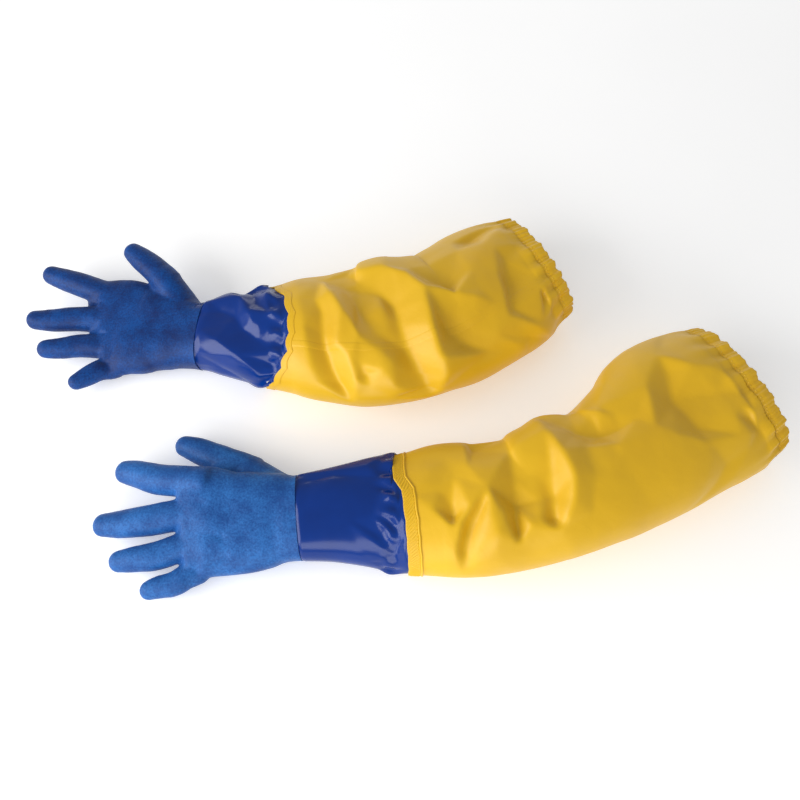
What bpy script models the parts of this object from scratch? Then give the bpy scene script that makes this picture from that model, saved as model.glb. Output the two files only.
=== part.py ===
"""A pair of shoulder-length cold-handling gloves, lying on a bench with the fingers towards -X.

Each glove is a lined hand coated in rough blue PVC, a smooth blue PVC gauntlet, and a yellow coated-fabric
sleeve that is welded on at the cuff and gathered by an elastic at the upper arm. The left glove (at -Y) lies
on its palm, the right one (at +Y) on its back. Soft walls are drawn thicker than the fabric is.
Run it with: blender --background --python part.py
"""

import copy
import math

import bmesh
import bpy
from mathutils import Matrix, Vector

MM = 0.001

# The middle of the pair's footprint, taken off every place below so that it lies on the origin.
PAIR_CENTRE = Vector((-12.434, 13.835, 0.0))

COAT_WALL = 1.6
LINER_WALL = 1.6
FABRIC_WALL = 1.2
GAP = 0.4
LINER_INSET = COAT_WALL + GAP

HAND_SIDES = 18
THUMB_BASE_SIDES = 12
FINGER_SIDES = 10
ARM_SIDES = 20
CORD_SIDES = 5
DOME_RINGS = 2
PALM_SQUARENESS = 2.6

BAND_LENGTH = 10.5
CUFF_LAP = 9.0
BEAD_RADIUS = 1.1
SEAM_WIDTH = 8.0
SEAM_THICKNESS = 0.5
HEM_DEPTH = 15.0
ELASTIC_WIDTH = 9.0
ELASTIC_THICKNESS = 0.9
THREAD_RADIUS = 0.45
SEAM_SETBACK = 2.0
STITCH_SETBACK = 1.5
HOLE_REACH = 9.0
HOLE_MARGIN = 0.8
WELD_DISTANCE = 1e-6

# A station is x, y, z of the tube's middle, its width across the arm and its height, all in millimetres.
# Stations run from the hand towards the shoulder, and finger stations from the root towards the tip.
GLOVES = {
    "left": {
        "roll": 11.0,
        "palm_side": -1,
        "seam_angle": -132.0,
        "palm": [
            (-102, -127, 26, 82, 48),
            (-118, -127, 25, 88, 45),
            (-140, -130, 25, 96, 41),
            (-163, -131, 24, 100, 39),
            (-185, -130, 24, 109, 37),
            (-205, -133, 23, 119, 34),
        ],
        "thumb_base": [
            (-112, -103, 27, 36, 31),
            (-136, -88, 22, 37, 30),
            (-156, -72, 17, 33, 27),
        ],
        "fingers": {
            "thumb": [(0, 32, 26), (-185, -60, 15.5, 30, 25), (-207, -50, 14, 27, 23), (-221, -45, 13.5, 22, 20)],
            "index": [(43.5, 31, 27), (-238, -87, 26, 31, 26), (-260, -80, 22, 28, 24), (-275, -76, 19, 24, 21)],
            "middle": [(11.5, 31, 28), (-240, -127, 21, 31, 27), (-268, -130, 18, 28, 24), (-289, -131, 16, 23, 20)],
            "ring": [(-18.5, 28, 26), (-230, -161, 17, 28, 25), (-252, -164, 15, 25, 23), (-269, -166, 13, 21, 19)],
            "little": [(-46, 24, 23), (-212, -187, 13, 24, 22), (-226, -190, 12, 22, 21), (-236, -193, 11.5, 19, 18)],
        },
        "gauntlet": [
            (-74, -125, 28, 87, 54),
            (-48, -124, 30, 95, 58),
            (-20, -124, 32, 106, 63),
        ],
        "arm": [
            (3, -125, 33.5, 118, 71),
            (40, -122, 37.4, 130, 79),
            (75, -122.5, 40.2, 129, 85),
            (114, -115, 42.2, 131, 89),
            (136, -108, 46, 136, 88),
            (159, -100.5, 47, 137, 88),
            (183, -93, 46, 134, 88),
            (206, -82, 43, 137, 91),
            (242, -58.5, 43, 150, 91),
            (279, -30, 42.2, 165, 89),
            (315, -8, 40.8, 168, 86),
            (335, 4, 42.5, 152, 80),
        ],
    },
    "right": {
        "roll": 8.0,
        "palm_side": 1,
        "seam_angle": 118.0,
        "palm": [
            (-224, 82, 25, 74, 47),
            (-240, 86, 24, 84, 44),
            (-262, 90, 23, 94, 41),
            (-284, 91, 22, 103, 38),
            (-304, 97, 20, 114, 36),
            (-325, 94, 19, 121, 34),
        ],
        "thumb_base": [
            (-234, 110, 29, 35, 30),
            (-250, 131, 35, 34, 29),
            (-264, 149, 41, 32, 28),
        ],
        "fingers": {
            "thumb": [(0, 31, 26), (-278, 162, 43, 29, 25), (-291, 172, 45, 27, 23), (-301, 180, 46, 22, 20)],
            "index": [(45, 29, 26), (-358, 148, 27, 28, 25), (-378, 155, 27.5, 26, 23), (-396, 162, 28, 22, 20)],
            "middle": [(12, 30, 27), (-358, 106, 22, 28, 25), (-382, 103, 24, 26, 23), (-402, 102, 26, 22, 20)],
            "ring": [(-21, 28, 26), (-348, 73, 19, 26, 24), (-368, 69, 20.5, 24, 22), (-385, 67, 22, 21, 19)],
            "little": [(-47, 24, 23), (-326, 43, 16, 23, 21), (-338, 34, 17, 21, 20), (-346, 28, 18, 18, 17)],
        },
        "gauntlet": [
            (-206, 80, 27, 78, 52),
            (-188, 78, 30, 90, 56),
            (-164, 76, 33, 104, 63),
        ],
        "arm": [
            (-139, 74.5, 34.5, 120, 73),
            (-104, 73.5, 38.4, 138, 81),
            (-74, 70.5, 41.2, 150, 87),
            (-42, 70.5, 43, 165, 91),
            (-20, 73, 47, 171, 90),
            (4, 76.5, 48, 169, 90),
            (28, 83.5, 47, 165, 90),
            (50, 93, 43.5, 165, 92),
            (74, 110.5, 43, 168, 91),
            (98, 132, 41.7, 171, 88),
            (120, 150, 40.3, 168, 85),
            (134, 163, 42, 154, 79),
        ],
    },
}

# Which rings of the sleeve each length of it runs between. The elbow length is where the fabric folds.
LOWER_SLEEVE = (0, 3)
ELBOW_SLEEVE = (3, 7)
UPPER_SLEEVE = (7, 11)

FINISHES = {
    "rough_pvc": ("2F5FB0", 0.62),
    "smooth_pvc": ("0A3C9C", 0.18),
    "liner": ("E9E4D6", 0.95),
    "yellow_fabric": ("E3B61C", 0.45),
    "elastic": ("F2F0EA", 0.85),
    "thread": ("E8BF2A", 0.7),
}


def clear_scene():
    for old in list(bpy.data.objects):
        bpy.data.objects.remove(old)


def finish(name):
    """The named finish as a material, made once."""
    found = bpy.data.materials.get(name)
    if found:
        return found
    hex_value, roughness = FINISHES[name]
    material = bpy.data.materials.new(name)
    material.use_nodes = True
    shader = material.node_tree.nodes["Principled BSDF"]
    linear = [(int(hex_value[k : k + 2], 16) / 255) ** 2.2 for k in (0, 2, 4)]
    shader.inputs["Base Color"].default_value = (*linear, 1.0)
    shader.inputs["Roughness"].default_value = roughness
    return material


def skin(name, outlines, finish_name=None, closed=False):
    """A solid whose surface runs through these outlines in turn, as a loop of edges extruded to each next one.

    It ends in a flat cap at each end, or if closed it meets its own start. Without a finish it is a cutter.
    """
    bm = bmesh.new()
    loop = start = bmesh.ops.create_circle(bm, segments=len(outlines[0]), radius=MM)["verts"]
    put_at(loop, outlines[0])
    for outline in outlines[1:] + (outlines[:1] if closed else []):
        edges = [bm.edges.get(pair) for pair in zip(loop, loop[1:] + loop[:1])]
        made = set(bmesh.ops.extrude_edge_only(bm, edges=edges)["geom"])
        loop = [next(e.other_vert(v) for e in v.link_edges if e.other_vert(v) in made) for v in loop]
        put_at(loop, outline)
    if closed:
        bmesh.ops.remove_doubles(bm, verts=bm.verts, dist=WELD_DISTANCE)
    else:
        bmesh.ops.contextual_create(bm, geom=start)
        bmesh.ops.contextual_create(bm, geom=loop)
    bmesh.ops.triangulate(bm, faces=bm.faces)
    bmesh.ops.recalc_face_normals(bm, faces=bm.faces)
    mesh = bpy.data.meshes.new(name)
    bm.to_mesh(mesh)
    bm.free()
    made_object = bpy.data.objects.new(name, mesh)
    bpy.context.scene.collection.objects.link(made_object)
    mesh.shade_smooth()
    mesh.set_sharp_from_angle(angle=math.radians(40))
    if finish_name:
        mesh.materials.append(finish(finish_name))
    else:
        made_object.hide_render = True
        made_object.display_type = "WIRE"
    return made_object


def put_at(vertices, places):
    for vertex, place in zip(vertices, places):
        vertex.co = place * MM


class Ring:
    """One cross-section of a tube: its middle, its three directions, its half width and its half height.

    The bench is at height 0, and a layer that is inset by some distance stays that far above it.
    """

    def __init__(self, middle, ahead, roll_degrees, half_width, half_height, squareness):
        self.squareness = squareness
        self.middle = Vector(middle)
        self.ahead = Vector(ahead).normalized()
        level = Vector((0, 0, 1)).cross(self.ahead).normalized()
        if level.y < 0:
            level.negate()
        turn = Matrix.Rotation(math.radians(roll_degrees), 3, Vector((1, 0, 0)))
        self.side = (turn @ level).normalized()
        self.side = (self.side - self.side.dot(self.ahead) * self.ahead).normalized()
        self.up = self.side.cross(self.ahead)
        if self.up.z < 0:
            self.up.negate()
        self.half_width = half_width
        self.half_height = half_height
        self.bench = 0.0

    def moved(self, along=0.0, grow=0.0, scale=1.0):
        """This ring further along its tube, with its outline moved outwards by grow, then scaled."""
        other = copy.copy(self)
        other.middle = self.middle + self.ahead * along
        other.half_width = (self.half_width + grow) * scale
        other.half_height = (self.half_height + grow) * scale
        other.bench = self.bench - grow
        return other

    def beside(self, across, width, height):
        """A smaller ellipse in this ring's plane, with its middle moved sideways by across."""
        other = self.moved(along=GAP)
        other.middle = other.middle + self.side * across
        other.half_width = width / 2
        other.half_height = height / 2
        other.squareness = 2.0
        return other

    def point(self, angle, grow=0.0):
        """The outline's point at this angle, from the +Y side towards the top. The bench flattens it."""
        across = math.copysign(abs(math.cos(angle)) ** (2 / self.squareness), math.cos(angle))
        above = math.copysign(abs(math.sin(angle)) ** (2 / self.squareness), math.sin(angle))
        place = (
            self.middle
            + self.side * across * (self.half_width + grow)
            + self.up * above * (self.half_height + grow)
        )
        below = self.bench - grow - place.z
        return place + self.up * max(below, 0.0) / self.up.z


def rings_along(stations, roll_degrees=0.0, squareness=2.0):
    """A ring at each station, square to the line through the stations. A squareness of 2 is an ellipse."""
    middles = [Vector(s[:3]) - PAIR_CENTRE for s in stations]
    rings = []
    for k, (middle, station) in enumerate(zip(middles, stations)):
        before = middles[max(k - 1, 0)]
        after = middles[min(k + 1, len(middles) - 1)]
        sizes = (station[3] / 2, station[4] / 2)
        rings.append(Ring(middle, after - before, roll_degrees, *sizes, squareness))
    return rings


def with_dome(rings):
    """The same rings and then a rounded tip, as at the end of a finger."""
    last = rings[-1]
    depth = last.half_height
    extra = []
    for k in range(1, DOME_RINGS + 1):
        angle = math.pi / 2 * k / (DOME_RINGS + 0.5)
        extra.append(last.moved(along=depth * math.sin(angle), scale=math.cos(angle)))
    return rings + extra


def outlines_of(rings, sides):
    turns = [2 * math.pi * k / sides for k in range(sides)]
    return [[ring.point(turn) for turn in turns] for ring in rings]


def tube(name, outer, inner, sides, finish_name, closed_tip=False):
    """A hollow solid between two sets of rings. Its first end is open, and its last end too unless it has a tip."""
    outside = outlines_of(outer, sides)
    inside = outlines_of(inner, sides)
    if closed_tip:
        return skin(name, outside[::-1] + inside, finish_name)
    return skin(name, outside + inside[::-1], finish_name, closed=True)


def move_origin(made, place):
    """Put an object's origin on its joint's axis and leave its surface where it is."""
    made.data.transform(Matrix.Translation(-place * MM))
    made.location = place * MM


def boolean(target, tool, operation):
    modifier = target.modifiers.new(operation.lower(), "BOOLEAN")
    modifier.operation = operation
    modifier.object = tool


def hand_rings(glove):
    """The rings of the palm, and those of the ball of the thumb."""
    palm = rings_along(glove["palm"], glove["roll"], PALM_SQUARENESS)
    return palm, rings_along(glove["thumb_base"], glove["roll"])


def finger_rings(glove, finger):
    """The rings of one finger. Its root lies flat against the end of the palm or of the ball of the thumb."""
    palm, ball = hand_rings(glove)
    end = ball[-1] if finger == "thumb" else palm[-1]
    (across, width, height), *stations = glove["fingers"][finger]
    root = end.beside(across, width, height)
    line = [(*(root.middle + PAIR_CENTRE), width, height), *stations]
    return [root, *rings_along(line, glove["roll"])[1:]]


def finger_hinge(glove, root):
    """A finger bends at the palm side's edge of its root, so that the root leaves the palm as it curls."""
    return root.middle + root.up * root.half_height * glove["palm_side"]


def elbow_hinge(glove):
    """The elbow bends about the level line across the middle of the length where the fabric folds."""
    return rings_along(glove["arm"])[sum(ELBOW_SLEEVE) // 2].middle


def finger_layer(name, rings, inset, wall, finish_name):
    outer = with_dome([r.moved(grow=-inset) for r in rings])
    inner = with_dome([r.moved(grow=-(inset + wall)) for r in rings])
    return tube(name, outer, inner, FINGER_SIDES, finish_name, closed_tip=True)


def palm_layer(name, glove, inset, wall, finish_name):
    """One layer of the hand without its fingers: a hollow shell open at the wrist, with a hole at each finger."""
    palm, base = hand_rings(glove)

    def filled(title, more_inset, open_wrist, material=None):
        """The palm and the ball of the thumb as solids, the second joined to the first."""
        shrunk = [r.moved(grow=-more_inset) for r in palm]
        shrunk[-1] = palm[-1].moved(along=-more_inset, grow=-more_inset)
        if open_wrist:
            shrunk[0] = shrunk[0].moved(along=-GAP)
            shrunk.insert(0, shrunk[0].moved(along=-HOLE_REACH))
        body = skin(title, outlines_of(shrunk, HAND_SIDES), material)
        ball = [r.moved(grow=-more_inset) for r in base]
        ball[-1] = base[-1].moved(along=-more_inset, grow=-more_inset)
        boolean(body, skin(title + "_thumb_ball", outlines_of(ball, THUMB_BASE_SIDES)), "UNION")
        return body

    shell = filled(name, inset, False, finish_name)
    boolean(shell, filled(name + "_hollow", inset + wall, True), "DIFFERENCE")
    for finger in glove["fingers"]:
        root = finger_rings(glove, finger)[0].moved(grow=-(inset + wall + HOLE_MARGIN))
        passage = [root.moved(along=-HOLE_REACH), root.moved(along=HOLE_REACH)]
        hole = skin(f"{name}_{finger}_hole", outlines_of(passage, FINGER_SIDES))
        boolean(shell, hole, "DIFFERENCE")
    return shell


def arm_tube(name, rings, inset, wall, finish_name, trim=(0.0, 0.0)):
    """One layer of the sleeve or gauntlet, open at both ends, with each end cut back by trim."""
    cut = [rings[0].moved(along=trim[0]), *rings[1:-1], rings[-1].moved(along=-trim[1])]
    outer = [r.moved(grow=-inset) for r in cut]
    inner = [r.moved(grow=-(inset + wall)) for r in cut]
    return tube(name, outer, inner, ARM_SIDES, finish_name)


def round_ring(name, ring, radius, grow, finish_name):
    """A thin closed cord of round section that runs around the arm, just outside the ring's outline."""
    turns = [2 * math.pi * j / CORD_SIDES for j in range(CORD_SIDES)]
    edges = [ring.moved(along=radius * math.sin(t), grow=grow + radius * math.cos(t)) for t in turns]
    angles = [2 * math.pi * k / ARM_SIDES for k in range(ARM_SIDES)]
    sections = [[edge.point(angle) for edge in edges] for angle in angles]
    return skin(name, sections, finish_name, closed=True)


def seam_strip(name, rings, angle, finish_name):
    """The lapped edge that is welded down along the sleeve, at this angle around the arm."""
    sections = []
    for ring in rings:
        half_turn = SEAM_WIDTH / (ring.half_width + ring.half_height)
        turns = (angle - half_turn, angle, angle + half_turn)
        under = [ring.point(turn, grow=GAP) for turn in turns]
        over = [ring.point(turn, grow=GAP + SEAM_THICKNESS) for turn in reversed(turns)]
        sections.append(under + over)
    return skin(name, sections, finish_name)


def hem_casing(name, ring, finish_name):
    """The sleeve's end turned back inside itself: a ring of U section that is open towards the hand."""
    turned_in = 2 * FABRIC_WALL + ELASTIC_THICKNESS + 2 * GAP
    profile = [
        (0.0, 0.0),
        (HEM_DEPTH, 0.0),
        (HEM_DEPTH, -turned_in),
        (0.0, -turned_in),
        (0.0, FABRIC_WALL - turned_in),
        (HEM_DEPTH - FABRIC_WALL, FABRIC_WALL - turned_in),
        (HEM_DEPTH - FABRIC_WALL, -FABRIC_WALL),
        (0.0, -FABRIC_WALL),
    ]
    edges = [ring.moved(along=along, grow=grow) for along, grow in profile]
    return skin(name, outlines_of(edges, ARM_SIDES), finish_name, closed=True)


def elastic_band(name, ring):
    """The flat elastic that lies in the hem's tunnel."""
    start = (HEM_DEPTH - ELASTIC_WIDTH) / 2
    outer = [ring.moved(along=start + a, grow=-FABRIC_WALL - GAP) for a in (0.0, ELASTIC_WIDTH)]
    inner = [r.moved(grow=-ELASTIC_THICKNESS) for r in outer]
    return tube(name, outer, inner, ARM_SIDES, "elastic")


def make_hand(side, glove):
    layers = (("coat", 0.0, COAT_WALL, "rough_pvc"), ("liner", LINER_INSET, LINER_WALL, "liner"))
    for layer, inset, wall, finish_name in layers:
        palm = palm_layer(f"{side}_palm_{layer}", glove, inset, wall, finish_name)
        move_origin(palm, hand_rings(glove)[0][0].middle)
        for finger in glove["fingers"]:
            rings = finger_rings(glove, finger)
            made = finger_layer(f"{side}_{finger}_{layer}", rings, inset, wall, finish_name)
            move_origin(made, finger_hinge(glove, rings[0]))


def make_gauntlet(side, glove):
    """The smooth length from the wrist to just inside the sleeve's cuff, which laps over it."""
    wrist = hand_rings(glove)[0][0].moved(along=-GAP)
    cuff = rings_along(glove["arm"])[0].moved(grow=-FABRIC_WALL - GAP)
    rings = [wrist, *rings_along(glove["gauntlet"]), cuff.moved(along=-GAP), cuff.moved(along=CUFF_LAP)]
    arm_tube(f"{side}_gauntlet", rings, 0.0, COAT_WALL, "smooth_pvc")
    arm_tube(f"{side}_gauntlet_liner", rings, LINER_INSET, LINER_WALL, "liner", trim=(0.0, 2.0))


def make_cuff(side, rings):
    """The ribbed band and the bead that weld the sleeve to the gauntlet. The bead's ring is returned."""
    band = [rings[0], rings[0].moved(along=BAND_LENGTH)]
    arm_tube(f"{side}_cuff_band", band, 0.0, FABRIC_WALL, "yellow_fabric")
    bead = rings[0].moved(along=BAND_LENGTH + GAP + BEAD_RADIUS)
    round_ring(f"{side}_cuff_bead", bead, BEAD_RADIUS, -BEAD_RADIUS, "yellow_fabric")
    return bead


def make_length(side, name, rings, seam_angle=None):
    """One length of the sleeve, with the welded seam that runs along it unless it is the folding one."""
    tube_ends = (GAP, GAP)
    made = [arm_tube(f"{side}_sleeve_{name}", rings, 0.0, FABRIC_WALL, "yellow_fabric", tube_ends)]
    if seam_angle is not None:
        first, *middle, last = rings
        cut = [first.moved(along=SEAM_SETBACK), *middle, last.moved(along=-SEAM_SETBACK)]
        made.append(seam_strip(f"{side}_seam_{name}", cut, math.radians(seam_angle), "yellow_fabric"))
    return made


def make_hem(side, ring):
    """The gathered end of the sleeve: the turned casing, the elastic inside it and the stitching around it."""
    return [
        hem_casing(f"{side}_hem_casing", ring, "yellow_fabric"),
        elastic_band(f"{side}_elastic", ring),
        round_ring(
            f"{side}_hem_stitch", ring.moved(along=STITCH_SETBACK), THREAD_RADIUS, GAP + THREAD_RADIUS, "thread"
        ),
    ]


def make_sleeve(side, glove):
    rings = rings_along(glove["arm"])
    bead = make_cuff(side, rings)
    rings[0] = bead.moved(along=BEAD_RADIUS)
    lengths = [rings[first : last + 1] for first, last in (LOWER_SLEEVE, ELBOW_SLEEVE, UPPER_SLEEVE)]
    make_length(side, "lower", lengths[0], glove["seam_angle"])
    make_length(side, "elbow", lengths[1])
    upper_arm = make_length(side, "upper", lengths[2], glove["seam_angle"]) + make_hem(side, rings[-1])
    for made in upper_arm:
        move_origin(made, elbow_hinge(glove))


clear_scene()
for glove_side, glove_sizes in GLOVES.items():
    make_hand(glove_side, glove_sizes)
    make_gauntlet(glove_side, glove_sizes)
    make_sleeve(glove_side, glove_sizes)
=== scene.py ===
"""A pair of shoulder-length cold-handling gloves on a pale bench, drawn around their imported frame.

Lengths in the tables are in millimetres, and the meshes are in metres.
"""

import math

import bmesh
import bpy
import numpy as np
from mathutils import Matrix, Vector, noise
from mathutils.geometry import delaunay_2d_cdt


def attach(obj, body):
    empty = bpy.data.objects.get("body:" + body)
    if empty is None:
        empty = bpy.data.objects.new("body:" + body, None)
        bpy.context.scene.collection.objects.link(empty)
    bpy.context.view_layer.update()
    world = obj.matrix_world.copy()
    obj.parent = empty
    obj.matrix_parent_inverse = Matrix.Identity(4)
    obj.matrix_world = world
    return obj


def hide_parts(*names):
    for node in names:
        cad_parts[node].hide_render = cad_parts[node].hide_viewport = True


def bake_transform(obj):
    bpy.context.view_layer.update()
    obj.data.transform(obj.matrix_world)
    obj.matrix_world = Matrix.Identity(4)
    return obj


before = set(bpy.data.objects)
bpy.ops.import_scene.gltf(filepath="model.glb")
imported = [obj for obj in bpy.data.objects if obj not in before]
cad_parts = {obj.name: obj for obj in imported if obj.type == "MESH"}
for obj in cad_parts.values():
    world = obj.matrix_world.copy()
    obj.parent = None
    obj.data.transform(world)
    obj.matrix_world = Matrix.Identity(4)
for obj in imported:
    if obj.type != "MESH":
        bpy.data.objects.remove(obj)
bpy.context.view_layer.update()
bpy.ops.object.select_all(action="DESELECT")

# ---------------------------------------------------------------------------------------------------------
# Bench, camera and light
# A wide sheet of white laminate, lit as a tabletop studio is: three large diffusing panels, the strongest at
# the fingers' end, in an even pale room. The camera looks down at the pair from the front.
# ---------------------------------------------------------------------------------------------------------

PAIR_MIDDLE = Vector((0.01243, -0.01384, 0.03))
CAMERA_ELEVATION = math.radians(62)
CAMERA_DISTANCE = 0.80
CAMERA_LENS = 34.7
SENSOR_WIDTH = 36

bpy.ops.object.camera_add(
    location=PAIR_MIDDLE
    + CAMERA_DISTANCE * Vector((0, -math.cos(CAMERA_ELEVATION), math.sin(CAMERA_ELEVATION))),
    rotation=(math.pi / 2 - CAMERA_ELEVATION, 0, 0),
)
camera = bpy.context.object
camera.data.lens = CAMERA_LENS
camera.data.sensor_width = SENSOR_WIDTH
bpy.context.scene.camera = camera
# The plain display curve, which keeps a strong yellow and a white bench as bright as they are.
bpy.context.scene.view_settings.view_transform = "Standard"


def linear(colour):
    """An sRGB hex colour as the linear colour that a shader takes."""
    parts = [int(colour[k : k + 2], 16) / 255 for k in (0, 2, 4)]
    return (*[c / 12.92 if c <= 0.04045 else ((c + 0.055) / 1.055) ** 2.4 for c in parts], 1.0)


def add(material, kind, inputs, **settings):
    """Add a node. Each input is given a value, or is linked where a socket of another node is given."""
    made = material.node_tree.nodes.new("ShaderNode" + kind)
    for name, value in settings.items():
        setattr(made, name, value)
    for name, value in inputs.items():
        if isinstance(value, bpy.types.NodeSocket):
            material.node_tree.links.new(value, made.inputs[name])
        else:
            made.inputs[name].default_value = value
    return made


def new_material(name):
    """An empty material, and the place on the piece as a socket that its patterns start from."""
    material = bpy.data.materials.new(name)
    material.use_nodes = True
    material.node_tree.nodes.clear()
    return material, add(material, "TexCoord", {}).outputs["Object"]


def surface(material, **inputs):
    """The shader that ends a material. An input's name is a socket's, with its spaces as underscores."""
    sockets = {key.replace("_", " "): value for key, value in inputs.items()}
    shader = add(material, "BsdfPrincipled", sockets)
    add(material, "OutputMaterial", {"Surface": shader.outputs["BSDF"]})


def mixed(material, factor, first, second):
    """Two colours, mixed by the value of a socket."""
    made = add(material, "Mix", {"Factor": factor}, data_type="RGBA")
    for socket in made.inputs:
        if socket.type == "RGBA":
            socket.default_value = linear({"A": first, "B": second}[socket.name])
    return next(socket for socket in made.outputs if socket.type == "RGBA")


# White melamine laminate: a pressed plastic sheet, nearly matt. It glows a little, so that shadows stay pale.
laminate, laminate_place = new_material("white_melamine_laminate")
laminate_mottle = add(laminate, "TexNoise", {"Vector": laminate_place, "Scale": 6.0, "Detail": 3.0})
surface(
    laminate,
    Base_Color=mixed(laminate, laminate_mottle.outputs["Fac"], "F1F1F1", "F5F5F5"),
    Roughness=0.75,
    Emission_Color=(1.0, 1.0, 1.0, 1.0),
    Emission_Strength=0.3,
)

BENCH_SIZE = 8.0
BENCH_TOP = -0.0005
bpy.ops.mesh.primitive_plane_add(size=BENCH_SIZE, location=(0, 0, BENCH_TOP))
bench = bpy.context.object
bench.name = "bench"
bench.data.materials.append(laminate)

# Panels: name, place, width, height and power in watts.
PANELS = [
    ("panel_fingers_end", (-1.35, -0.50, 0.70), 1.3, 0.9, 19.0),
    ("panel_front", (-0.35, -1.45, 0.65), 1.5, 0.6, 12.0),
    ("panel_behind", (0.15, 1.55, 0.35), 1.6, 0.3, 3.0),
]
PANELS_AIM = Vector((0, 0, 0.03))
ROOM_LIGHT = 0.45
for panel_name, place, width, height, power in PANELS:
    bpy.ops.object.light_add(type="AREA", location=place)
    panel = bpy.context.object
    panel.name = panel_name
    panel.rotation_euler = (PANELS_AIM - Vector(place)).to_track_quat("-Z", "Y").to_euler()
    panel.data.shape = "RECTANGLE"
    panel.data.size = width
    panel.data.size_y = height
    panel.data.energy = power
room = bpy.data.worlds.new("studio")
room.use_nodes = True
room.node_tree.nodes["Background"].inputs["Color"].default_value = (1.0, 1.0, 1.0, 1.0)
room.node_tree.nodes["Background"].inputs["Strength"].default_value = ROOM_LIGHT
bpy.context.scene.world = room

# ---------------------------------------------------------------------------------------------------------
# Sleeve
# A tube of satin PVC-coated fabric, cut flat and welded along one edge, from the cuff to the upper arm.
# It is stiff enough to break into sharp dents and flat facets where it folds at the elbow.
# ---------------------------------------------------------------------------------------------------------

# Places along each sleeve, from the cuff: x, y and z of the tube's middle, its width and its height.
SLEEVE = {
    "left": [
        (15.4, -138.8, 33.5, 118, 71),
        (52.4, -135.8, 37.4, 130, 79),
        (87.4, -136.3, 40.2, 129, 85),
        (126.4, -128.8, 42.2, 131, 89),
        (148.4, -121.8, 46, 136, 88),
        (171.4, -114.3, 47, 137, 88),
        (195.4, -106.8, 46, 134, 88),
        (218.4, -95.8, 43, 137, 91),
        (254.4, -72.3, 43, 150, 91),
        (291.4, -43.8, 42.2, 165, 89),
        (327.4, -21.8, 40.8, 168, 86),
        (348.4, -10.8, 42.5, 155, 80),
    ],
    "right": [
        (-126.6, 60.7, 34.5, 120, 73),
        (-91.6, 59.7, 38.4, 138, 81),
        (-61.6, 56.7, 41.2, 150, 87),
        (-29.6, 56.7, 43, 165, 91),
        (-7.6, 59.2, 47, 171, 90),
        (16.4, 62.7, 48, 169, 90),
        (40.4, 69.7, 47, 165, 90),
        (62.4, 79.2, 43.5, 165, 92),
        (86.4, 96.7, 43, 168, 91),
        (111.4, 116.2, 41.7, 171, 88),
        (135.4, 133.2, 40.5, 162, 84),
        (154.4, 144.2, 41.5, 143, 76),
    ],
}

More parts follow.
